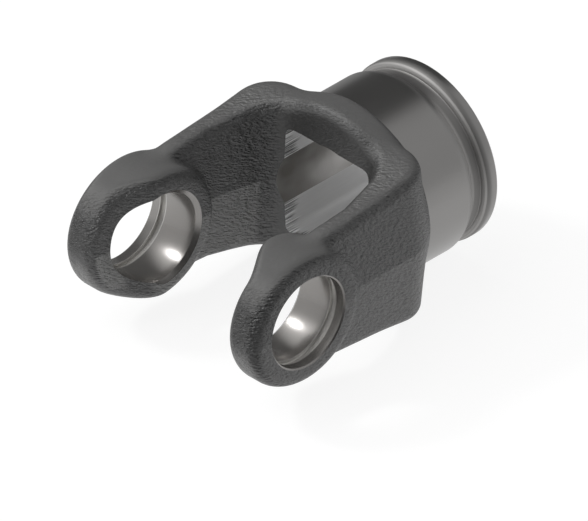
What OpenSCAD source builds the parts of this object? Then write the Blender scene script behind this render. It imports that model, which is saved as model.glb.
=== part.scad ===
// Forged fork of a driveline joint, one piece of steel: two eared arms on a
// U-shaped base, a round neck, and a turned hub with a broached bore.
// The origin is the centre of the joint, where the ears' bore axis crosses
// the hub's axis. +X runs along the hub, +Y along the ears' bores.

/* [Joint bores] */
// Diameter of the bearing cap that each ear holds
cap_d = 27; // [23.8:0.1:29]
// Distance over the seated caps, between the inner walls of the ring grooves
cap_span = 61.9; // [60:0.1:64]
// Width of the groove for the snap ring
ring_groove_w = 2.2; // [1.2:0.1:2.4]
// Depth of the groove for the snap ring
ring_groove_depth = 0.9; // [0.6:0.1:1.4]
// Radial size of the chamfer at each bore's inner mouth
mouth_chamfer = 1.2; // [0.6:0.1:1.8]
// Radial size of the lead-in at each bore's outer mouth
lead_in = 0.4; // [0.2:0.1:0.8]

/* [Ears] */
// Distance from the bore axis to the tips of the ears
ear_r = 20.7; // [19.5:0.1:22]
// Half height of the ears
ear_rise = 19.7; // [19:0.1:22]
// Distance over the outer faces of the ears
ear_span = 72.6; // [71.5:0.1:76]
// Gap between the inner faces of the ears beside the bores
ear_gap = 37.4; // [34:0.1:42]
// Rounding of the ears' edges
ear_edge_r = 3.8; // [2:0.1:4]
// Depth of the relief in the inner faces at the tips, which frees the joint's swing
relief_depth = 6.3; // [3:0.1:7]
// Distance from the bore axis to where the relief begins
relief_start = 2; // [-2:0.5:4]
// Length over which the relief runs down to its full depth
relief_run = 15; // [12:0.5:18]

/* [Arms and base] */
// Gap between the arms behind the ears, on the parting line
arm_gap = 46.6; // [42:0.1:50]
// Width over the arms, on the parting line
arm_span = 68; // [64:0.1:70]
// Half height of the arms at the bore axis
arm_rise = 19; // [17:0.1:19.5]
// Half height of the base at its back
base_rise = 23.8; // [22:0.1:25]
// Distance from the bore axis to the web's inner face
web_x = 44.3; // [40:0.1:47]
// Thickness of the web along the hub
web_t = 10.7; // [8:0.1:14]
// Distance from the bore axis to where the arms begin to thicken inwards
taper_start = 24; // [22:0.5:30]
// Gap between the tapered arms, carried on to the web
root_gap = 37; // [33:0.1:42]
// Radius of the corners inside the fork
inner_corner_r = 8.5; // [5:0.5:10]
// Radius of the corners at the back of the base
outer_corner_r = 13.2; // [8:0.1:16]
// Rounding of the long edges on the inside of the fork
inner_edge_r = 3; // [1.5:0.1:3.4]
// Rounding of the long edges on the outside of the fork
outer_edge_r = 3.4; // [1.5:0.1:3.6]
// Draft of the forged faces, up and down from the parting line
draft = 5; // [2:0.5:6]

/* [Neck and hub] */
// Diameter of the forged neck round the bore
neck_d = 56.4; // [55:0.1:58]
// Rounding of the neck's front edge
neck_edge_r = 3; // [1:0.1:3.5]
// Rounding of the neck where it runs back to the hub
neck_back_r = 3; // [2:0.1:7]
// Diameter of the turned hub
hub_d = 53.5; // [50:0.1:54.5]
// Distance from the bore axis to the hub's end face
hub_end_x = 81.4; // [79:0.1:95]
// Width of the lip at the hub's end
lip_w = 4.8; // [3.5:0.1:7]
// Diameter of the lip at the hub's end
lip_d = 53; // [51:0.1:54.5]
// Width of the floor of the guard bearing's groove
guard_groove_w = 1.9; // [1:0.1:3]
// Diameter of the floor of the guard bearing's groove
guard_groove_d = 49; // [47:0.1:50]
// Rounding of the hub's shoulder where it runs down into the groove
shoulder_r = 4; // [2.5:0.1:5]
// Fillet between that shoulder and the groove's floor
groove_fillet_r = 2.3; // [1:0.1:3]
// Rounding of the lip's front edge, over which the guard bearing snaps
lip_front_r = 1.8; // [0.4:0.1:2.2]
// Rounding of the edge at the hub's end
lip_edge_r = 0.9; // [0.4:0.1:1.2]

/* [Broached bore] */
// Width of the rectangular bore, along the ears' bores
slot_w = 31.2; // [29:0.1:32]
// Height of the rectangular bore
slot_h = 33.7; // [33:0.1:35]
// Radius of the rectangular bore's corners
slot_corner_r = 2; // [1:0.1:3]
// Diameter of the drilled bore that the broach followed
pilot_d = 34.4; // [33.6:0.1:36]
// Radial size of the countersink at the hub's end
countersink = 1; // [0.5:0.1:1.5]

/* [Hidden] */

// Fineness of turned surfaces, of forged roundings and of corners in plan
TURNED_FN = 96;
EDGE_STEPS = 5;
CORNER_STEPS = 9;
EAR_STEPS = 48;
// How far a cutting tool runs past the surface that it opens
PAST = 1;

// Distance from the bore axis to the back of the base
back_x = web_x + web_t;
// The arms start inside the ears, this far from the bore axis
arm_start = 2;
// Slope of the arms' inner faces where they thicken towards the web
root_slope = atan((arm_gap - root_gap) / 2 / (web_x - taper_start));

function arc(centre, r, from, to, steps) =
    [for (i = [0 : steps]) let (a = from + (to - from) * i / steps) centre + r * [cos(a), sin(a)]];

// Fork in plan, on the parting line: matching points of its inner and its
// outer outline, from one ear to the middle of the web.

inner_corner = [
    web_x - inner_corner_r,
    root_gap / 2 + inner_corner_r * ((1 - sin(root_slope)) * tan(root_slope) - cos(root_slope))];
outer_corner = [back_x - outer_corner_r, arm_span / 2 - outer_corner_r];

inner_plan = concat(
    [[arm_start, arm_gap / 2], [taper_start, arm_gap / 2]],
    arc(inner_corner, inner_corner_r, 90 - root_slope, 0, CORNER_STEPS),
    [[web_x, 0]]);
outer_plan = concat(
    [[arm_start, arm_span / 2], [taper_start, arm_span / 2]],
    arc(outer_corner, outer_corner_r, 90, 0, CORNER_STEPS),
    [[back_x, 0]]);

function mirrored(plan) = [for (i = [len(plan) - 2 : -1 : 0]) [plan[i].x, -plan[i].y]];
inner_path = concat(inner_plan, mirrored(inner_plan));
outer_path = concat(outer_plan, mirrored(outer_plan));

// Half height of the fork at a distance from the bore axis
function rise(x) = arm_rise + (base_rise - arm_rise) * x / back_x;

// Upper half of one section across the fork: distance from the inner face,
// and height. Both faces lean in with the draft, and run into the top in
// a rounding.
function rounding(height, r) =
    arc([(height - r) * tan(draft) + r / cos(draft), height - r], r, 180 - draft, 90, EDGE_STEPS);
function upper_section(wall, inner_height, outer_height) = concat(
    rounding(inner_height, inner_edge_r),
    [for (i = [EDGE_STEPS : -1 : 0]) let (p = rounding(outer_height, outer_edge_r)[i]) [wall - p.x, p.y]]);
function section(wall, inner_height, outer_height) =
    let (upper = upper_section(wall, inner_height, outer_height))
    concat([[0, 0]], upper, [[wall, 0]], [for (i = [len(upper) - 1 : -1 : 0]) [upper[i].x, -upper[i].y]]);

function fork_ring(p, q) =
    let (wall = norm(q - p), across = (q - p) / wall)
    [for (s = section(wall, rise(p.x), rise(q.x))) [p.x + across.x * s.x, p.y + across.y * s.x, s.y]];

// Closed solid through rings with the same number of points. An open row of
// rings gets a flat cap at each end, and a closed one runs back to its start.
module skin(rings, closed = false) {
    n = len(rings[0]);
    count = len(rings);
    sides = [
        for (i = [0 : count - (closed ? 1 : 2)], k = [0 : n - 1])
            let (j = (i + 1) % count, l = (k + 1) % n)
            each [[i * n + k, i * n + l, j * n + l], [i * n + k, j * n + l, j * n + k]]];
    caps = [[for (k = [n - 1 : -1 : 0]) k], [for (k = [0 : n - 1]) (count - 1) * n + k]];
    polyhedron([for (r = rings) each r], closed ? sides : concat(sides, caps), convexity = 6);
}

module arms_and_base() {
    skin([for (i = [0 : len(inner_path) - 1]) fork_ring(inner_path[i], outer_path[i])]);
}

// One ear, along +Y: a round boss whose edges are rounded all round, and
// whose inner face is relieved towards the tip so that the joint can swing.

inner_face_y = ear_gap / 2;
outer_face_y = ear_span / 2;
ear_core_r = ear_r - ear_edge_r;
inner_edge = arc([ear_core_r, inner_face_y + ear_edge_r], ear_edge_r, -90, 0, EDGE_STEPS);
outer_edge = arc([ear_core_r, outer_face_y - ear_edge_r], ear_edge_r, 0, 90, EDGE_STEPS);

function relief(x) = relief_depth * (1 - cos(180 * max(0, min(1, (relief_start - x) / relief_run)))) / 2;
function ear_ring(r, y, relieved) = [
    for (i = [0 : EAR_STEPS - 1])
        let (a = 360 * i / EAR_STEPS, x = r * cos(a))
        [x, y + (relieved ? relief(x) : 0), r * sin(a) * ear_rise / ear_r]];

module ear() {
    core_r = cap_d / 4;
    inner_face = [[core_r, inner_face_y], [cap_d / 2, inner_face_y]];
    skin(concat(
        [for (p = concat(inner_face, inner_edge)) ear_ring(p.x, p.y, true)],
        [for (p = concat(outer_edge, [[core_r, outer_face_y]])) ear_ring(p.x, p.y, false)]),
        closed = true);
}

module both_sides() {
    children();
    mirror([0, 1, 0]) children();
}

// Lays a profile of [distance along the hub, radius] round the hub's axis
module turned(profile) {
    rotate([0, 90, 0]) rotate_extrude($fn = TURNED_FN) polygon([for (p = profile) [p.y, p.x]]);
}

module neck() {
    r = neck_d / 2;
    turned(concat(
        [[web_x, 0]],
        arc([web_x + neck_edge_r, r - neck_edge_r], neck_edge_r, 180, 90, EDGE_STEPS),
        arc([back_x - neck_back_r * cos(15), r - neck_back_r], neck_back_r, 90, 15, EDGE_STEPS),
        [[back_x, 0]]));
}

module hub() {
    r = hub_d / 2;
    floor_r = guard_groove_d / 2;
    lip_x = hub_end_x - lip_w;
    lip_r = lip_d / 2;
    // 1 where the hub or the lip stands above the groove's floor, as on the
    // real part, and -1 where a changed diameter puts the floor above it
    hub_side = r < floor_r ? -1 : 1;
    lip_side = lip_r < floor_r ? -1 : 1;
    front_r = min(lip_front_r, abs(lip_r - floor_r));
    floor_end = lip_x - abs(lip_r - floor_r) / 5;
    floor_start = floor_end - guard_groove_w;
    fall_angle = acos(1 - abs(r - floor_r) / (shoulder_r + groove_fillet_r));
    shoulder_x = floor_start - (shoulder_r + groove_fillet_r) * sin(fall_angle);
    turned(concat(
        [[back_x - PAST, 0], [back_x - PAST, r]],
        arc([shoulder_x, r - hub_side * shoulder_r], shoulder_r,
            hub_side * 90, hub_side * (90 - fall_angle), EDGE_STEPS),
        arc([floor_start, floor_r + hub_side * groove_fillet_r], groove_fillet_r,
            hub_side * (270 - fall_angle), hub_side * 270, EDGE_STEPS),
        [[floor_end, floor_r]],
        arc([lip_x + front_r, lip_r - lip_side * front_r], front_r,
            lip_side * 180, lip_side * 90, EDGE_STEPS),
        arc([hub_end_x - lip_edge_r, lip_r - lip_edge_r], lip_edge_r, 90, 0, EDGE_STEPS),
        [[hub_end_x, 0]]));
}

module along_y(y, h, r1, r2) {
    translate([0, y, 0]) rotate([-90, 0, 0]) cylinder(h = h, r1 = r1, r2 = r2, $fn = TURNED_FN);
}

// Bearing bore of one ear, with its ring groove, outer lead-in and inner chamfer
module ear_bore() {
    r = cap_d / 2;
    outer = outer_face_y;
    along_y(0, outer + PAST, r, r);
    along_y(cap_span / 2, ring_groove_w, r + ring_groove_depth, r + ring_groove_depth);
    along_y(outer - lead_in, lead_in + PAST, r, r + lead_in + PAST);
    along_y(inner_face_y - PAST, mouth_chamfer + PAST, r + mouth_chamfer + PAST, r);
}

module slot_outline() {
    r = slot_corner_r;
    square([slot_h - 2 * r, slot_w], center = true);
    square([slot_h, slot_w - 2 * r], center = true);
    for (i = [-1, 1], j = [-1, 1])
        translate([i * (slot_h / 2 - r), j * (slot_w / 2 - r)]) circle(r = r, $fn = 32);
    circle(d = pilot_d, $fn = TURNED_FN);
}

module broached_bore() {
    front = web_x - inner_corner_r - PAST;
    translate([front, 0, 0]) rotate([0, 90, 0]) linear_extrude(hub_end_x - front + PAST) slot_outline();
    turned([
        [hub_end_x - countersink, 0], [hub_end_x - countersink, pilot_d / 2],
        [hub_end_x + PAST, pilot_d / 2 + countersink + PAST], [hub_end_x + PAST, 0]]);
}

module forged_yoke() {
    color([0.22, 0.22, 0.23]) difference() {
        union() {
            arms_and_base();
            both_sides() ear();
            neck();
            hub();
        }
        both_sides() ear_bore();
        broached_bore();
    }
}

forged_yoke();
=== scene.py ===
import math

import bpy
from mathutils import Matrix, Vector


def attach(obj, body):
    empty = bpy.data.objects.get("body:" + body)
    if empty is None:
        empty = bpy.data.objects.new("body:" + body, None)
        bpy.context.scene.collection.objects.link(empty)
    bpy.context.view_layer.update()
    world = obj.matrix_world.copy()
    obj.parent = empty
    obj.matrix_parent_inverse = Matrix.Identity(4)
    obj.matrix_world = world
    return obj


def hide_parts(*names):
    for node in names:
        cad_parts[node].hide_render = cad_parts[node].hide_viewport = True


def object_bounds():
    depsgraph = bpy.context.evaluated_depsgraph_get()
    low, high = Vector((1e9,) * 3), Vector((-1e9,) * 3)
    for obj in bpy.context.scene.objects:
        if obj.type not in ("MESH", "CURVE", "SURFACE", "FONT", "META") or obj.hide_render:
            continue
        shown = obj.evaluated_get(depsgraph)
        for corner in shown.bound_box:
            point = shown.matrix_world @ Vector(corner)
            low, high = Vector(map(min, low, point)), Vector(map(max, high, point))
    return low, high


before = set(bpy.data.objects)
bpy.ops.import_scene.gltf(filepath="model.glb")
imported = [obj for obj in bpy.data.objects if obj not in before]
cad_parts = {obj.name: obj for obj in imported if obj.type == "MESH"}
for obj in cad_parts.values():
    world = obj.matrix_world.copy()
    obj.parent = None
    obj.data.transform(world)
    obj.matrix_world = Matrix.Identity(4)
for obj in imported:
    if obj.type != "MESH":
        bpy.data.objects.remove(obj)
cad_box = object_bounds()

# Forged steel skin of the arms, the base, the ears and the neck. Hot steel filled two equal dies that met on
# the plane z = 0, so the walls lean 5 degrees each way, the edges are rounded and the corners are filled.

MM = 0.001


def mm(*sizes):
    """Several sizes in millimetres, as metres."""
    return tuple(size * MM for size in sizes)


class Wire:
    """One output socket: a value that varies over space or a surface. Arithmetic on it adds Math nodes."""

    def __init__(self, graph, socket):
        self.graph = graph
        self.socket = socket

    def __getitem__(self, output):
        """Another output of the same node."""
        return Wire(self.graph, self.socket.node.outputs[output])

    def __add__(self, other):
        return self.graph.math("ADD", self, other)

    def __sub__(self, other):
        return self.graph.math("SUBTRACT", self, other)

    def __rsub__(self, other):
        return self.graph.math("SUBTRACT", other, self)

    def __mul__(self, other):
        return self.graph.math("MULTIPLY", self, other)

    def __truediv__(self, other):
        return self.graph.math("DIVIDE", self, other)

    def __rtruediv__(self, other):
        return self.graph.math("DIVIDE", other, self)

    def __neg__(self):
        return self.graph.math("MULTIPLY", self, -1)

    def __abs__(self):
        return self.graph.math("ABSOLUTE", self)

    __radd__ = __add__
    __rmul__ = __mul__

    def between(self, low, high):
        """Runs from low to high while this value runs from 0 to 1."""
        return low + self * (high - low)

    def step(self, start, end, low=0.0, high=1.0):
        """Runs smoothly from low to high while this value runs from start to end."""
        return self.graph.add("ShaderNodeMapRange", {0: self, 1: start, 2: end, 3: low, 4: high},
                              interpolation_type="SMOOTHSTEP")

    def band(self, rise_from, rise_to, fall_from, fall_to):
        """Rises from 0 to 1 and later falls back to 0, each between two of this value's levels."""
        return self.step(rise_from, rise_to) * self.step(fall_from, fall_to, 1, 0)


class Graph:
    """Adds nodes to one node tree."""

    def __init__(self, tree):
        self.tree = tree

    def add(self, kind, inputs=None, output=0, stops=None, **settings):
        """Makes a node, sets it up, fills or links its inputs, and gives one of its outputs."""
        node = self.tree.nodes.new(kind)
        for name, value in settings.items():
            setattr(node, name, value)
        if stops:
            for element, (place, colour) in zip(node.color_ramp.elements, stops):
                element.position = place
                element.color = colour
        for key, value in (inputs or {}).items():
            if isinstance(value, Wire):
                self.tree.links.new(value.socket, node.inputs[key])
            else:
                node.inputs[key].default_value = value
        return Wire(self, node.outputs[output]) if node.outputs else None

    def math(self, operation, *values):
        return self.add("ShaderNodeMath", dict(enumerate(values)), operation=operation)

    def diagonal(self, a, b):
        """Length of the diagonal of a rectangle a by b."""
        return self.math("SQRT", a * a + b * b)

    def split(self, vector):
        """The x, y and z of a vector."""
        parts = self.add("ShaderNodeSeparateXYZ", {0: vector})
        return parts["X"], parts["Y"], parts["Z"]

    def tint(self, share, colour, other):
        """Runs from one colour to the other while share runs from 0 to 1."""
        return self.add("ShaderNodeMix", {"Factor": share, 6: colour, 7: other}, output=2, data_type="RGBA")


# The tops of the arms sink a little beside the ears and swell towards the base, and the ears are relieved
# inside, so that the joint can swing.

skin_sizes = {
    "Ear reach": 20.7 * MM,
    "Ear half height": 19.7 * MM,
    "Ear inner face": 18.7 * MM,
    "Ear outer face": 36.3 * MM,
    "Ear edge": 3.8 * MM,
    "Ear fillet": 2 * MM,
    "Relief depth": 6.3 * MM,
    "Relief start": 2 * MM,
    "Relief run": 15 * MM,
    "Arm start": 2 * MM,
    "Arm inner face": 23.3 * MM,
    "Arm outer face": 34 * MM,
    "Arm half height": 19 * MM,
    "Sink depth": 1.4 * MM,
    "Sink full until": 3 * MM,
    "Sink gone at": 13 * MM,
    "Swell height": 0.8 * MM,
    "Swell start": 30 * MM,
    "Swell full at": 48 * MM,
    "Base half height": 23.8 * MM,
    "Taper start": 24 * MM,
    "Root inner face": 18.5 * MM,
    "Web face": 44.3 * MM,
    "Back face": 55 * MM,
    "Inner corner": 8.5 * MM,
    "Outer corner": 13.2 * MM,
    "Inner edge": 3 * MM,
    "Outer edge": 3.4 * MM,
    "Neck radius": 28.2 * MM,
    "Neck edge": 3 * MM,
    "Neck valley": 5 * MM,
}
DRAFT = math.radians(5)

skin_tree = bpy.data.node_groups.new("forged_skin", "GeometryNodeTree")
for name in skin_sizes:
    skin_tree.interface.new_socket(name, in_out="INPUT", socket_type="NodeSocketFloat")
skin_tree.interface.new_socket("Material", in_out="INPUT", socket_type="NodeSocketMaterial")
skin_tree.interface.new_socket("Mesh", in_out="OUTPUT", socket_type="NodeSocketGeometry")
skin = Graph(skin_tree)
given = skin.add("NodeGroupInput")


def largest(a, b):
    return skin.math("MAXIMUM", a, b)


def smallest(a, b):
    return skin.math("MINIMUM", a, b)


def common(a, b, edge):
    """Distance to what two solids share, its edge rounded."""
    rounded = skin.diagonal(largest(a + edge, 0), largest(b + edge, 0))
    return smallest(largest(a, b), -edge) + rounded


def joined(a, b, fillet):
    """Distance to two solids that meet squarely, the corner between them filled."""
    rounded = skin.diagonal(largest(fillet - a, 0), largest(fillet - b, 0))
    return largest(smallest(a, b), fillet) - rounded


def merged(a, b, valley):
    """Distance to two solids that meet at a shallow angle, the valley between them softened."""
    return skin.math("SMOOTH_MIN", a, b, valley)


def arms_and_base(x, y, z):
    """Distance to the U of the two arms and the base."""
    lean = z * math.tan(DRAFT)
    square = math.cos(DRAFT)

    side = (given["Arm inner face"] + lean - y) * square
    slope = (given["Arm inner face"] - given["Root inner face"]) / (given["Web face"] - given["Taper start"])
    taper_y = given["Arm inner face"] - (x - given["Taper start"]) * slope
    taper = (taper_y + lean - y) / skin.diagonal(slope, 1)
    web = (given["Web face"] + lean - x) * square
    inside = joined(smallest(side, taper), web, given["Inner corner"] + lean)

    outer_side = (y + lean - given["Arm outer face"]) * square
    back = (x + lean - given["Back face"]) * square
    outside = common(outer_side, back, given["Outer corner"] - lean)

    rise = (given["Base half height"] - given["Arm half height"]) / given["Back face"]
    sunk = x.step(given["Sink full until"], given["Sink gone at"], given["Sink depth"], 0)
    swell = x.step(given["Swell start"], given["Swell full at"], 0, given["Swell height"])
    top = z - given["Arm half height"] - x * rise + sunk - swell
    arms = largest(common(inside, top, given["Inner edge"]), common(outside, top, given["Outer edge"]))
    return largest(arms, given["Arm start"] - x)


def ears(x, y, z):
    """Distance to the two round ears, which are relieved inside towards their tips."""
    flat_z = z * (given["Ear reach"] / given["Ear half height"])
    round_side = skin.diagonal(x, flat_z) - given["Ear reach"]
    relief = x.step(given["Relief start"] - given["Relief run"], given["Relief start"],
                    given["Relief depth"], 0)
    inner_face = given["Ear inner face"] + relief - y
    outer_face = y - given["Ear outer face"]
    return largest(common(round_side, inner_face, given["Ear edge"]),
                   common(round_side, outer_face, given["Ear edge"]))


def neck(x, y, z):
    """Distance to the round neck that crowns the base above and below."""
    across = skin.diagonal(y, z) - given["Neck radius"]
    return largest(common(across, given["Web face"] - x, given["Neck edge"]),
                   common(across, x - given["Back face"], given["Neck edge"]))


# The fork mirrors in y = 0 and in z = 0, so the distances take y and z without their signs. Inside the steel
# they are negative. A coarse grid gives the mesh, and three moves along the normal, each by the distance that
# is left, bring every point onto the skin.

along, sideways, upwards = skin.split(skin.add("GeometryNodeInputPosition"))
here = (along, abs(sideways), abs(upwards))
fork = joined(arms_and_base(*here), ears(*here), given["Ear fillet"])
distance = merged(fork, neck(*here), given["Neck valley"])

CELL = 0.7 * MM
MARGIN = 1
BACK_MARGIN = 3
MOVES = 3
half_width = skin_sizes["Ear outer face"] / MM + MARGIN
half_height = skin_sizes["Neck radius"] / MM + MARGIN
low = Vector((-skin_sizes["Ear reach"] / MM - MARGIN, -half_width, -half_height)) * MM
high = Vector((skin_sizes["Back face"] / MM + BACK_MARGIN, half_width, half_height)) * MM
cells = [2 * math.ceil((b - a) / CELL / 2) for a, b in zip(low, high)]
solid = skin.add("GeometryNodeVolumeCube", {
    "Density": -distance, "Background": -1.0, "Min": low, "Max": high,
    "Resolution X": cells[0], "Resolution Y": cells[1], "Resolution Z": cells[2]})
surface = skin.add("GeometryNodeVolumeToMesh", {"Volume": solid, "Threshold": 0.0}, resolution_mode="GRID")
for move in range(MOVES):
    inward = skin.add("ShaderNodeVectorMath",
                      {0: skin.add("GeometryNodeInputNormal"), "Scale": -distance}, operation="SCALE")
    surface = skin.add("GeometryNodeSetPosition", {"Geometry": surface, "Offset": inward})
surface = skin.add("GeometryNodeSetShadeSmooth", {"Geometry": surface})
surface = skin.add("GeometryNodeRealizeInstances", {0: surface})
surface = skin.add("GeometryNodeSetMaterial", {"Geometry": surface, "Material": given["Material"]})
skin.add("NodeGroupOutput", {0: surface})


def grown(name, tree, values):
    """Plain mesh object of what a tree makes from nothing, given its inputs by name."""
    seed = bpy.data.objects.new(name + "_seed", bpy.data.meshes.new(name + "_seed"))
    bpy.context.scene.collection.objects.link(seed)
    modifier = seed.modifiers.new(name, "NODES")
    modifier.node_group = tree
    for item in tree.interface.items_tree:
        if item.in_out == "INPUT":
            modifier[item.identifier] = values[item.name]
    evaluated = seed.evaluated_get(bpy.context.evaluated_depsgraph_get())
    mesh = bpy.data.meshes.new_from_object(evaluated)
    seed.modifiers.clear()
    bpy.data.objects.remove(seed)
    piece = bpy.data.objects.new(name, mesh)
    bpy.context.scene.collection.objects.link(piece)
    return piece


def material(name):
    """New material, the graph of its nodes, and the place on the object that the nodes read."""
    new = bpy.data.materials.new(name)
    new.use_nodes = True
    new.node_tree.nodes.clear()
    graph = Graph(new.node_tree)
    return new, graph, graph.add("ShaderNodeTexCoord")["Object"]


def grains(graph, place, size, detail=3.0, roughness=0.5, stretch=(1, 1, 1), distortion=0.0):
    """Noise whose lumps are about size across, from 0 to 1."""
    scaled = graph.add("ShaderNodeMapping", {0: place, "Scale": Vector(stretch) / (2 * size)})
    return graph.add("ShaderNodeTexNoise", {"Vector": scaled, "Scale": 1.0, "Detail": detail,
                                            "Roughness": roughness, "Distortion": distortion})


def steel(graph, inputs):
    """Closes a material's graph with a Principled shader."""
    graph.add("ShaderNodeOutputMaterial", {0: graph.add("ShaderNodeBsdfPrincipled", inputs)})


# The skin is pitted, and wrinkled in short strokes that lie level when it is seen from the side and above.

forged_steel, look, place = material("forged_steel")
WRINKLE = 0.28 * MM
WRINKLE_STRETCH = (0.4, 0.4, 1)
WRINKLE_TILT = math.radians(34)
PIT = 1.2 * MM
PIT_HEIGHT = 0.35
MEAN_HEIGHT = 0.67
SKIN_RELIEF = 1.15 * MM
tilted = look.add("ShaderNodeVectorRotate", {"Vector": place, "Axis": (1, -1, 0), "Angle": WRINKLE_TILT},
                  rotation_type="AXIS_ANGLE")
wrinkle = grains(look, tilted, WRINKLE, detail=2, stretch=WRINKLE_STRETCH, distortion=0.15)
pits = grains(look, place, PIT, detail=3, roughness=0.6)

# The fork's zones go by place, and within each the faces that look up or down are smoother than the walls.
# Facings run from -1 to 1.

EAR_TO_ARM = mm(8, 18)
ARM_TO_BASE = mm(45, 50)
WEB_PLACE = mm(39, 43)
WEB_FACING = (-0.9, -0.55)
WEB_SMOOTHING = 0.8
BASE_TOP_PLACE = mm(40, 44)
BASE_TOP_FACING = (0.2, 0.5)
BASE_TOP_SMOOTHING = 0.1
EAR_LEVEL = (0.66, 0.86)
ARM_LEVEL = (0.5, 0.96)
EAR_WRINKLES = 0.3
ARM_WRINKLES = 0.4
BASE_WRINKLES = 0.12
x, y, z = look.split(place)
face_x, face_y, face_z = look.split(look.add("ShaderNodeNewGeometry", output="True Normal"))
level = abs(face_z)
web = x.step(*WEB_PLACE) * face_x.step(*WEB_FACING, 1, 0)
base_top = x.step(*BASE_TOP_PLACE) * face_z.step(*BASE_TOP_FACING)
level_from = x.step(*EAR_TO_ARM, EAR_LEVEL[0], ARM_LEVEL[0])
level_to = x.step(*EAR_TO_ARM, EAR_LEVEL[1], ARM_LEVEL[1])
level_wrinkles = x.step(*ARM_TO_BASE, ARM_WRINKLES, BASE_WRINKLES) * x.step(*EAR_TO_ARM, EAR_WRINKLES, 1)
height = ((wrinkle + pits * PIT_HEIGHT - MEAN_HEIGHT) * level.step(level_from, level_to, 1, level_wrinkles)
          * (1 - web * WEB_SMOOTHING) * (1 - base_top * BASE_TOP_SMOOTHING))
bump = look.add("ShaderNodeBump", {"Height": height, "Strength": 1.0, "Distance": SKIN_RELIEF})

# The tops of the ears and of the base are duller than the rest.

SKIN_ROUGHNESS = (0.40, 0.52)
EAR_DULLNESS = 0.34
DULL_LEVEL = (0.45, 0.75)
UPWARD = (0, 0.1)
BASE_TOP_DULLNESS = 0.13
dullness = x.step(*EAR_TO_ARM, EAR_DULLNESS, 0) * level.step(*DULL_LEVEL) * face_z.step(*UPWARD)
roughness = pits.between(*SKIN_ROUGHNESS) + dullness + base_top * BASE_TOP_DULLNESS

# The scale on the skin is nearly black. Painted light makes it paler on level faces, on the walls below the
# parting line and most on those of the far arm, and on the web; two stripes of painted highlight run round
# the ears with a stripe of painted shade between them.

SKIN_TONES = [(0.3, (0.010, 0.010, 0.010, 1)), (0.7, (0.017, 0.017, 0.0165, 1))]
# The pale colour that painted light blends the scale towards.
SKIN_PAINTED_LIGHT = (1, 0.99, 0.97, 1)
PATCH = 9 * MM
PATCH_SHARE = 0.6
WALL_PAINTED_LIGHT = 0.012
EAR_TOP_PAINTED_LIGHT = 0.066
ARM_TOP_PAINTED_LIGHT = 0.076
BASE_TOP_SHARE = 0.8
EAR_TOP_TO_ARM_TOP = mm(12, 20)
ARM_TOP_TO_BASE_TOP = mm(42, 48)
TOP_LEVEL = (0.72, 0.97)
WALL_FACING = (0.85, 0.95)
PARTING = mm(-0.3, 0.3)
FAR_SIDE = mm(0, 10)
WEB_PAINTED_LIGHT = 0.02
LOW_WALL_PAINTED_LIGHT = 0.05
FAR_LOW_WALL_EXTRA = 1.9
FAR_WALL_PAINTED_LIGHT = 0.015
EAR_PLACE = mm(3, 12)
EAR_RIM_FACING = (0.35, 0.7)
UPPER_STRIPE = (0.5, 0.72, 0.76, 0.93)
UPPER_STRIPE_PAINTED_HIGHLIGHT = 0.085
LOWER_STRIPE = (-0.36, -0.05)
LOWER_STRIPE_PAINTED_LIGHT = 0.1
PAINTED_SHADE_STRIPE = (-0.15, 0.12, 0.42, 0.62)
PAINTED_SHADE_STRIPE_METAL = 0.36
# The web gets a little painted light in its colour and painted shade through extra metal.
WEB_PAINTED_SHADE_METAL = 0.4
# Round the ears' rims: two stripes of painted highlight, and between them a stripe of painted shade made with
# extra metal.
ear_rim = x.step(*EAR_PLACE, 1, 0) * abs(face_y).step(*EAR_RIM_FACING, 1, 0)
painted_stripes = (face_z.band(*UPPER_STRIPE) * UPPER_STRIPE_PAINTED_HIGHLIGHT
           + face_z.step(*LOWER_STRIPE, LOWER_STRIPE_PAINTED_LIGHT, 0))
# Painted light on the level tops of the ears, the arms and the base.
top_painted_light = (x.step(*EAR_TOP_TO_ARM_TOP, EAR_TOP_PAINTED_LIGHT, ARM_TOP_PAINTED_LIGHT)
                * x.step(*ARM_TOP_TO_BASE_TOP, 1, BASE_TOP_SHARE))
wall = abs(face_y).step(*WALL_FACING)
far = y.step(*FAR_SIDE)
# Painted light on the walls below the parting line, most on the far arm.
low_wall_painted_light = z.step(*PARTING, LOW_WALL_PAINTED_LIGHT, 0) * wall * (1 + far * FAR_LOW_WALL_EXTRA)
# All the painted light on the skin, as a share of the pale colour: on level faces, round the ears, on the web
# and on the walls.
painted_light = (level.step(*TOP_LEVEL, WALL_PAINTED_LIGHT, top_painted_light) + ear_rim * painted_stripes + web * WEB_PAINTED_LIGHT
        + low_wall_painted_light + far * wall * FAR_WALL_PAINTED_LIGHT)
patches = grains(look, place, PATCH, detail=3)
mottled = patches * PATCH_SHARE + pits * (1 - PATCH_SHARE)
tone = look.tint(painted_light, look.add("ShaderNodeValToRGB", {0: mottled}, stops=SKIN_TONES), SKIN_PAINTED_LIGHT)
# Extra metal on the web and on the ears' middle stripe darkens their reflections: painted shade.
steel(look, {"Base Color": tone,
             "Metallic": web * WEB_PAINTED_SHADE_METAL + ear_rim * face_z.band(*PAINTED_SHADE_STRIPE) * PAINTED_SHADE_STRIPE_METAL,
             "Roughness": roughness, "IOR": 1.8, "Specular IOR Level": 0.62, "Normal": bump})

yoke = grown("forged_yoke_piece", skin_tree, dict(skin_sizes, Material=forged_steel))

# Turned hub: the back end of the forging, cut on a lathe to a smooth cylinder, with a rounded shoulder, the
# groove that a guard's bearing ring snaps into, and a lip that keeps the ring in place. The forms that are
# turned or cut have their sizes in millimetres.

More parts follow.
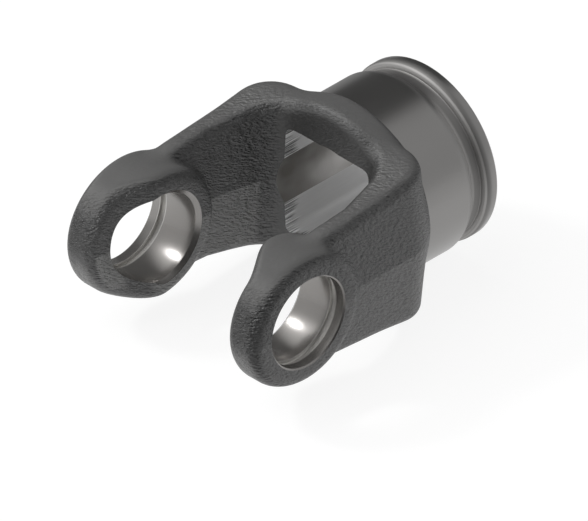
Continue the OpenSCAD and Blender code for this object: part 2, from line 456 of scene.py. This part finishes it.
HUB_R = 26.75
HUB_START = 50
HUB_END = 81.4
LIP_X = 76.6
LIP_R = 26.5
LIP_FRONT = 1.8
LIP_EDGE = 0.9
FLOOR_R = 24.5
FLOOR_WIDTH = 1.9
LIP_FACE_SLANT = 1 / 5
SHOULDER = 4
FILLET = 2.3
TURN_STEPS = 192
EDGE_STEPS = 12

finishes = [forged_steel]


def mesh_object(name, points, faces, finish):
    """Mesh from points in millimetres. Its finish keeps its slot when it is joined or cut."""
    mesh = bpy.data.meshes.new(name)
    mesh.from_pydata([Vector(point) * MM for point in points], [], faces)
    if finish not in finishes:
        finishes.append(finish)
    for each in finishes:
        mesh.materials.append(each)
    mesh.polygons.foreach_set("material_index", [finishes.index(finish)] * len(faces))
    mesh.update()
    new = bpy.data.objects.new(name, mesh)
    bpy.context.scene.collection.objects.link(new)
    return new


def arc(centre, radius, start, end, steps=8):
    """Points on an arc, by angles in degrees."""
    angles = [math.radians(start + (end - start) * i / steps) for i in range(steps + 1)]
    return [(centre[0] + radius * math.cos(a), centre[1] + radius * math.sin(a)) for a in angles]


def turned(name, profile, axis, finish):
    """Solid turned round X or Y. Its profile of (distance, radius) starts and ends on that axis."""
    points = [(profile[0][0], 0, 0)]
    rings = profile[1:-1]
    for along, radius in rings:
        for i in range(TURN_STEPS):
            angle = math.tau * i / TURN_STEPS
            points.append((along, radius * math.cos(angle), radius * math.sin(angle)))
    points.append((profile[-1][0], 0, 0))
    last = len(points) - 1
    faces = []
    for i in range(TURN_STEPS):
        j = (i + 1) % TURN_STEPS
        faces.append((0, 1 + j, 1 + i))
        for k in range(len(rings) - 1):
            a = 1 + k * TURN_STEPS
            b = a + TURN_STEPS
            faces.append((a + i, a + j, b + j, b + i))
        a = 1 + (len(rings) - 1) * TURN_STEPS
        faces.append((a + i, a + j, last))
    if axis == "Y":
        points = [(y, x, z) for x, y, z in points]
        faces = [tuple(reversed(face)) for face in faces]
    return mesh_object(name, points, faces, finish)


# The lathe left fine rings. Painted highlights lie in narrow bands on the shoulder and the lip, and painted
# shade lies on the back of the lip and over the top of the shoulder and the groove. A dull film lies from the
# shoulder across the groove to the lip.

turned_steel, look, place = material("turned_steel")
HUB_TONE = (0.27, 0.265, 0.26, 1)
HUB_PAINTED_HIGHLIGHT = (0.62, 0.61, 0.60, 1)
HUB_PAINTED_SHADE = (0.07, 0.069, 0.068, 1)
HUB_ROUGHNESS = (0.24, 0.34)
HUB_RING = 0.12 * MM
RING_DEPTH = 0.01 * MM
RING_STRENGTH = 0.35
FILM_PATCH = 7 * MM
NEAR_SIDE = mm(-16, -6)
UPPER_SIDE = mm(-12, 0)
HUB_TOP = mm(22, 24.5)
SHOULDER_PLACE = mm(70, 72.5, 73.6, 74.6)
SHOULDER_PAINTED_HIGHLIGHT = 0.55
LIP_FACE_PLACE = mm(76.2, 76.6, 76.75, 76.95)
LIP_FACE_PAINTED_HIGHLIGHT = 0.4
LIP_TOP_PLACE = mm(76.8, 77.05, 77.3, 77.55)
LIP_TOP_PAINTED_HIGHLIGHT = (0.4, 0.7)
LIP_BACK_PLACE = mm(77.5, 77.8, 78.6, 79)
LIP_BACK_PAINTED_SHADE = 0.1
GROOVE_PLACE = mm(70, 71.5, 75.8, 76.3)
GROOVE_PAINTED_SHADE = 0.6
DULL_PLACE = mm(69.5, 71.5, 78, 80)
DULL_FILM = 0.36
x, y, z = look.split(place)
side = y.step(*NEAR_SIDE, 1, 0) * z.step(*UPPER_SIDE)
# Painted highlights in narrow bands on the shoulder and the lip.
painted_highlight = (x.band(*SHOULDER_PLACE) * side * SHOULDER_PAINTED_HIGHLIGHT + x.band(*LIP_FACE_PLACE) * LIP_FACE_PAINTED_HIGHLIGHT
         + x.band(*LIP_TOP_PLACE) * side.between(*LIP_TOP_PAINTED_HIGHLIGHT))
# Painted shade on the back of the lip and over the top of the shoulder and the groove.
painted_shade = (x.band(*LIP_BACK_PLACE) * side * LIP_BACK_PAINTED_SHADE
         + z.step(*HUB_TOP) * x.band(*GROOVE_PLACE) * GROOVE_PAINTED_SHADE)
film = grains(look, place, FILM_PATCH, detail=3)
lines = grains(look, place, HUB_RING, detail=2, stretch=(1, 0.01, 0.01))
bump = look.add("ShaderNodeBump", {"Height": lines, "Strength": RING_STRENGTH, "Distance": RING_DEPTH})
steel(look, {"Base Color": look.tint(painted_shade, look.tint(painted_highlight, HUB_TONE, HUB_PAINTED_HIGHLIGHT), HUB_PAINTED_SHADE),
             "Metallic": 1.0, "Roughness": film.between(*HUB_ROUGHNESS) + x.band(*DULL_PLACE) * DULL_FILM,
             "Normal": bump})

floor_end = LIP_X - (LIP_R - FLOOR_R) * LIP_FACE_SLANT
floor_start = floor_end - FLOOR_WIDTH
fall_angle = math.degrees(math.acos(1 - (HUB_R - FLOOR_R) / (SHOULDER + FILLET)))
shoulder_x = floor_start - (SHOULDER + FILLET) * math.sin(math.radians(fall_angle))
hub_profile = (
    [(HUB_START, 0), (HUB_START, HUB_R)]
    + arc((shoulder_x, HUB_R - SHOULDER), SHOULDER, 90, 90 - fall_angle, EDGE_STEPS)
    + arc((floor_start, FLOOR_R + FILLET), FILLET, 270 - fall_angle, 270, EDGE_STEPS)
    + [(floor_end, FLOOR_R)]
    + arc((LIP_X + LIP_FRONT, LIP_R - LIP_FRONT), LIP_FRONT, 180, 90, EDGE_STEPS)
    + arc((HUB_END - LIP_EDGE, LIP_R - LIP_EDGE), LIP_EDGE, 90, 0)
    + [(HUB_END, 0)])
hub = turned("turned_hub", hub_profile, "X", turned_steel)

# Bored ears: each ear holds a bearing cap in a ground bore. A snap ring behind the cap sits in a groove near
# the outer mouth, and the inner mouth is chamfered.

BORE_R = 13.5
EAR_IN = skin_sizes["Ear inner face"] / MM
EAR_OUT = skin_sizes["Ear outer face"] / MM
GROOVE_IN = 30.95
GROOVE_OUT = 33.15
GROOVE_R = 14.4
CHAMFER = 1.2
LEAD_IN = 0.4
INNER_SPARE = 3
OUTER_SPARE = 2

# The bore is smooth, and shades as if it flared a little towards both ends. The ring groove is painted
# brighter: a painted highlight.

bored_steel, look, place = material("bored_steel")
BORE_TONE = (0.27, 0.26, 0.25, 1)
RING_GROOVE_PAINTED_HIGHLIGHT = (0.75, 0.74, 0.72, 1)
BORE_ROUGHNESS = (0.2, 0.26)
BORE_LINE = 0.15 * MM
LINE_HEIGHT = 0.003 * MM
BELL_CENTRE = 23 * MM
BELL_RADIUS = 35 * MM
RING_GROOVE = mm(30.7, 31, 33.1, 33.4)
outward = abs(look.split(place)[1])
depth = outward - BELL_CENTRE
bell = -(depth * depth) / (2 * BELL_RADIUS)
lines = grains(look, place, BORE_LINE, detail=2, stretch=(0.01, 1, 0.01))
bump = look.add("ShaderNodeBump", {"Height": bell + lines * LINE_HEIGHT, "Strength": 1.0, "Distance": 1.0})
# The ring groove's bright colour is a painted highlight.
steel(look, {"Base Color": look.tint(outward.band(*RING_GROOVE), BORE_TONE, RING_GROOVE_PAINTED_HIGHLIGHT),
             "Metallic": 0.8, "Roughness": lines.between(*BORE_ROUGHNESS), "Normal": bump})

bore_profile = [
    (EAR_IN - INNER_SPARE, 0), (EAR_IN - INNER_SPARE, BORE_R + CHAMFER + INNER_SPARE),
    (EAR_IN + CHAMFER, BORE_R), (GROOVE_IN, BORE_R), (GROOVE_IN, GROOVE_R), (GROOVE_OUT, GROOVE_R),
    (GROOVE_OUT, BORE_R), (EAR_OUT - LEAD_IN, BORE_R),
    (EAR_OUT + OUTER_SPARE, BORE_R + LEAD_IN + OUTER_SPARE), (EAR_OUT + OUTER_SPARE, 0)]
far_bore = turned("far_bore", bore_profile, "Y", bored_steel)
near_bore = turned("near_bore", [(-y, r) for y, r in reversed(bore_profile)], "Y", bored_steel)

# Broached bore: drilled through, then pulled to a rectangle whose four sides keep the shallow hollows of the
# drill. The broach scored its walls most where it entered, at the web.

SLOT_HALF_Y = 15.6
SLOT_HALF_Z = 16.85
SLOT_CORNER = 2
SLOT_START = 35
SLOT_SPARE = 2
PILOT_R = 17.2
PILOT_MOUTH = 1

# The scores run along the flats, and end in a frayed edge a few millimetres in. The flats are pale fresh cut
# steel, and their paleness is also painted light for the shade inside the slot.

broached_steel, look, place = material("broached_steel")
SCORE = 0.25 * MM
SCORE_DEPTH = 0.5 * MM
SCORE_STREAKS = (0.35, 0.65, -0.6, 0.3)
BROACHED_TONE_AND_PAINTED_LIGHT = 0.77
BROACHED_ROUGHNESS = (0.7, 0.8)
ENTRY = mm(50, 53)
FRAY = 0.8 * MM
FRAY_LENGTH = 10 * MM
SCORES_LEFT = 0.03
scores = grains(look, place, SCORE, detail=3, roughness=0.7, stretch=(0.02, 1, 1))
fray = grains(look, place, FRAY, detail=1, stretch=(0.01, 1, 1)) * FRAY_LENGTH
scored = (look.split(place)[0] + fray).step(*ENTRY, 1, SCORES_LEFT)
bump = look.add("ShaderNodeBump", {"Height": scores * scored, "Strength": 1.0, "Distance": SCORE_DEPTH})
# The pale grey is partly the cut steel's own and partly painted light for the shaded slot.
grey = BROACHED_TONE_AND_PAINTED_LIGHT + scores.step(*SCORE_STREAKS) * scored
steel(look, {"Base Color": look.add("ShaderNodeCombineColor", {"Red": grey, "Green": grey, "Blue": grey}),
             "Metallic": 0.8, "Roughness": scores.between(*BROACHED_ROUGHNESS), "Normal": bump})

# The hollows keep the rings of the drill. Their colour is darker and browner than the flats, in blotches:
# painted shade in the hollows.

drilled_steel, look, place = material("drilled_steel")
DRILLED_PAINTED_SHADE_TONES = [(0.35, (0.24, 0.23, 0.215, 1)), (0.65, (0.42, 0.41, 0.40, 1))]
DRILLED_ROUGHNESS = (0.34, 0.44)
DRILL_RING = 0.15 * MM
DRILL_RING_DEPTH = 0.04 * MM
DRILL_RING_STRENGTH = 0.4
BLOTCH = 5 * MM
rings = grains(look, place, DRILL_RING, detail=2, stretch=(1, 0.03, 0.03))
blotches = grains(look, place, BLOTCH, detail=2, stretch=(0.6, 1, 1))
bump = look.add("ShaderNodeBump",
                {"Height": rings, "Strength": DRILL_RING_STRENGTH, "Distance": DRILL_RING_DEPTH})
# The dark, blotched colour of the hollows is painted shade.
steel(look, {"Base Color": look.add("ShaderNodeValToRGB", {0: blotches}, stops=DRILLED_PAINTED_SHADE_TONES),
             "Metallic": 0.9, "Roughness": rings.between(*DRILLED_ROUGHNESS), "Normal": bump})

outline = []
for i, (sy, sz) in enumerate([(1, 1), (-1, 1), (-1, -1), (1, -1)]):
    centre = (sy * (SLOT_HALF_Y - SLOT_CORNER), sz * (SLOT_HALF_Z - SLOT_CORNER))
    outline += arc(centre, SLOT_CORNER, 90 * i, 90 * (i + 1))
count = len(outline)
slot_points = [(x, y, z) for x in (SLOT_START, HUB_END + SLOT_SPARE) for y, z in outline]
slot_faces = [(i, (i + 1) % count, count + (i + 1) % count, count + i) for i in range(count)]
slot_faces += [tuple(reversed(range(count))), tuple(range(count, 2 * count))]
slot = mesh_object("slot", slot_points, slot_faces, broached_steel)
pilot_profile = [
    (SLOT_START, 0), (SLOT_START, PILOT_R), (HUB_END - PILOT_MOUTH, PILOT_R),
    (HUB_END + PILOT_MOUTH, PILOT_R + 2 * PILOT_MOUTH), (HUB_END + PILOT_MOUTH, 0)]
pilot = turned("pilot", pilot_profile, "X", drilled_steel)

# The whole yoke is one piece of steel. The turned hub is joined to the forged skin, and then the bores are
# cut through both. The crease at the parting line of the walls stays sharp, as the dies left it.

SHARP_ANGLE = math.radians(32)
CREASE_START = EAR_TO_ARM[0]
CREASE_REACH = 0.01 * MM

yoke.data.materials.clear()
for finish in finishes:
    yoke.data.materials.append(finish)
tools = (hub, far_bore, near_bore, slot, pilot)
for tool in tools:
    cut = yoke.modifiers.new(tool.name, "BOOLEAN")
    cut.object = tool
    cut.operation = "UNION" if tool == hub else "DIFFERENCE"
    cut.solver = "MANIFOLD"
machined = bpy.data.meshes.new_from_object(yoke.evaluated_get(bpy.context.evaluated_depsgraph_get()))
yoke.modifiers.clear()
yoke.data = machined
for tool in tools:
    bpy.data.objects.remove(tool)
machined.shade_smooth()
machined.set_sharp_from_angle(angle=SHARP_ANGLE)
sharp = machined.attributes["sharp_edge"].data
for edge in machined.edges:
    ends = [machined.vertices[v].co for v in edge.vertices]
    if all(abs(end.z) < CREASE_REACH and end.x > CREASE_START for end in ends):
        sharp[edge.index].value = True

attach(yoke, "root")
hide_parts("forged_yoke")

# Studio: a pale floor that the fork lies on. It is bright to the camera and in reflections, apart from two
# sides that stay dark in reflections, and it keeps a soft shadow near the fork.

FLOOR_Z = cad_box[0][2]
FLOOR_REACH = 3.0
FLOOR_MIDDLE = (0.03, 0, FLOOR_Z)
FLOOR_COLOUR = (0.8, 0.8, 0.8, 1)
FLOOR_GLOW = 1.15
GLOW_SHARE = 0.75
MIRRORED_FADE = (0.04, 0.2, 1, 0.6)
DARK_FROM = (0.04, 0.11)
# Azimuth, core and edge in degrees, and strength
DARK_SIDES = ((-122, 25, 58, 0.93), (38, 20, 50, 0.55))

floor_mesh = bpy.data.meshes.new("floor")
corners = [(FLOOR_REACH * sx, FLOOR_REACH * sy, FLOOR_Z) for sx, sy in ((-1, -1), (1, -1), (1, 1), (-1, 1))]
floor_mesh.from_pydata(corners, [], [(0, 1, 2, 3)])
floor = bpy.data.objects.new("floor", floor_mesh)
bpy.context.scene.collection.objects.link(floor)

paper, look, place = material("paper")
path = look.add("ShaderNodeLightPath")
beyond = look.add("ShaderNodeVectorMath", {0: place, 1: FLOOR_MIDDLE}, output="Value", operation="DISTANCE")
from_middle = look.add("ShaderNodeVectorMath", {0: place, 1: FLOOR_MIDDLE}, operation="SUBTRACT")


def wedge(azimuth, core, edge, strength):
    """Full within core degrees of an azimuth, as seen from the middle, and gone past edge degrees."""
    direction = (math.cos(math.radians(azimuth)), math.sin(math.radians(azimuth)), 0)
    reach = look.add("ShaderNodeVectorMath", {0: from_middle, 1: direction}, output="Value",
                     operation="DOT_PRODUCT")
    return (reach / beyond).step(math.cos(math.radians(edge)), math.cos(math.radians(core))) * strength


dark = look.math("MAXIMUM", *(wedge(*side) for side in DARK_SIDES)) * beyond.step(*DARK_FROM)
seen = look.math("MAXIMUM", path["Is Camera Ray"], path["Is Glossy Ray"] * beyond.step(*MIRRORED_FADE))
matt = look.add("ShaderNodeBsdfDiffuse", {"Color": FLOOR_COLOUR})
glow = look.add("ShaderNodeEmission", {"Color": (1, 1, 1, 1), "Strength": FLOOR_GLOW})
unlit = look.add("ShaderNodeEmission", {"Color": (0, 0, 0, 1), "Strength": 0.0})
lit = look.add("ShaderNodeMixShader", {0: seen * GLOW_SHARE, 1: matt, 2: glow})
look.add("ShaderNodeOutputMaterial",
         {0: look.add("ShaderNodeMixShader", {0: path["Is Glossy Ray"] * dark, 1: lit, 2: unlit})})
floor_mesh.materials.append(paper)

# The surroundings are dim, with soft panels of light round the fork and one dark panel beside the camera.
# The camera itself sees plain white.

AMBIENT = 0.06
# Azimuth, elevation, core and edge in degrees, and strength
LIGHT_PANELS = (
    (-55, 20, 46, 66, 0.60),
    (150, 20, 20, 65, 0.75),
    (126, 65, 5, 42, 1.2),
    (45, 20, 0, 60, 0.06))
DARK_PANEL = (-118, 8, 20, 55, 0.92)

world = bpy.data.worlds.new("studio")
bpy.context.scene.world = world
world.use_nodes = True
world.node_tree.nodes.clear()
sky = Graph(world.node_tree)
toward = sky.add("ShaderNodeTexCoord")["Generated"]


def panel(azimuth, elevation, core, edge, strength):
    """Round patch of light in the surroundings, full inside its core and gone at its edge; all in degrees."""
    a, e = math.radians(azimuth), math.radians(elevation)
    axis = (math.cos(a) * math.cos(e), math.sin(a) * math.cos(e), math.sin(e))
    cosine = sky.add("ShaderNodeVectorMath", {0: toward, 1: axis}, output="Value", operation="DOT_PRODUCT")
    return cosine.step(math.cos(math.radians(edge)), math.cos(math.radians(core)), 0, strength)


light = AMBIENT
for each in LIGHT_PANELS:
    light = light + panel(*each)
surround = sky.add("ShaderNodeBackground",
                   {"Color": (1, 1, 1, 1), "Strength": light * (1 - panel(*DARK_PANEL))})
white = sky.add("ShaderNodeBackground", {"Color": (1, 1, 1, 1), "Strength": 1.0})
seen = sky.add("ShaderNodeLightPath")["Is Camera Ray"]
sky.add("ShaderNodeOutputWorld", {0: sky.add("ShaderNodeMixShader", {0: seen, 1: surround, 2: white})})

# A compact lamp stands high on the far side of the ears, and its image shows in their bores.

LAMP_DIRECTION = Vector((-0.39, 0.58, 0.71))
LAMP_DISTANCE = 1.2
LAMP_SIZE = 0.21
LAMP_POWER = 4.4

lamp_data = bpy.data.lights.new("key", "AREA")
lamp_data.shape = "DISK"
lamp_data.size = LAMP_SIZE
lamp_data.energy = LAMP_POWER
lamp = bpy.data.objects.new("key", lamp_data)
lamp.location = LAMP_DIRECTION.normalized() * LAMP_DISTANCE
lamp.rotation_euler = LAMP_DIRECTION.to_track_quat("Z", "Y").to_euler()
bpy.context.scene.collection.objects.link(lamp)

# Camera: an isometric view without perspective, from the fork's open end and above. It is aimed so that the
# middle of the joint, the origin, falls on its pixel in the photo.

PHOTO = (588, 521)
PX_PER_M = 3750
ELEVATION = math.radians(34.56)
JOINT_PX = (212.5, 268.4)
CAMERA_DISTANCE = 0.8

half = math.sqrt(0.5)
right = Vector((half, -half, 0))
away = Vector((half * math.cos(ELEVATION), half * math.cos(ELEVATION), -math.sin(ELEVATION)))
upward = right.cross(away)
aim = (right * (PHOTO[0] / 2 - JOINT_PX[0]) - upward * (PHOTO[1] / 2 - JOINT_PX[1])) / PX_PER_M
camera_data = bpy.data.cameras.new("camera")
camera_data.type = "ORTHO"
camera_data.ortho_scale = PHOTO[0] / PX_PER_M
camera = bpy.data.objects.new("camera", camera_data)
turn = Matrix((right, upward, -away)).transposed()
camera.matrix_world = Matrix.Translation(aim - away * CAMERA_DISTANCE) @ turn.to_4x4()
bpy.context.scene.collection.objects.link(camera)
bpy.context.scene.camera = camera
bpy.context.scene.view_settings.view_transform = "Standard"
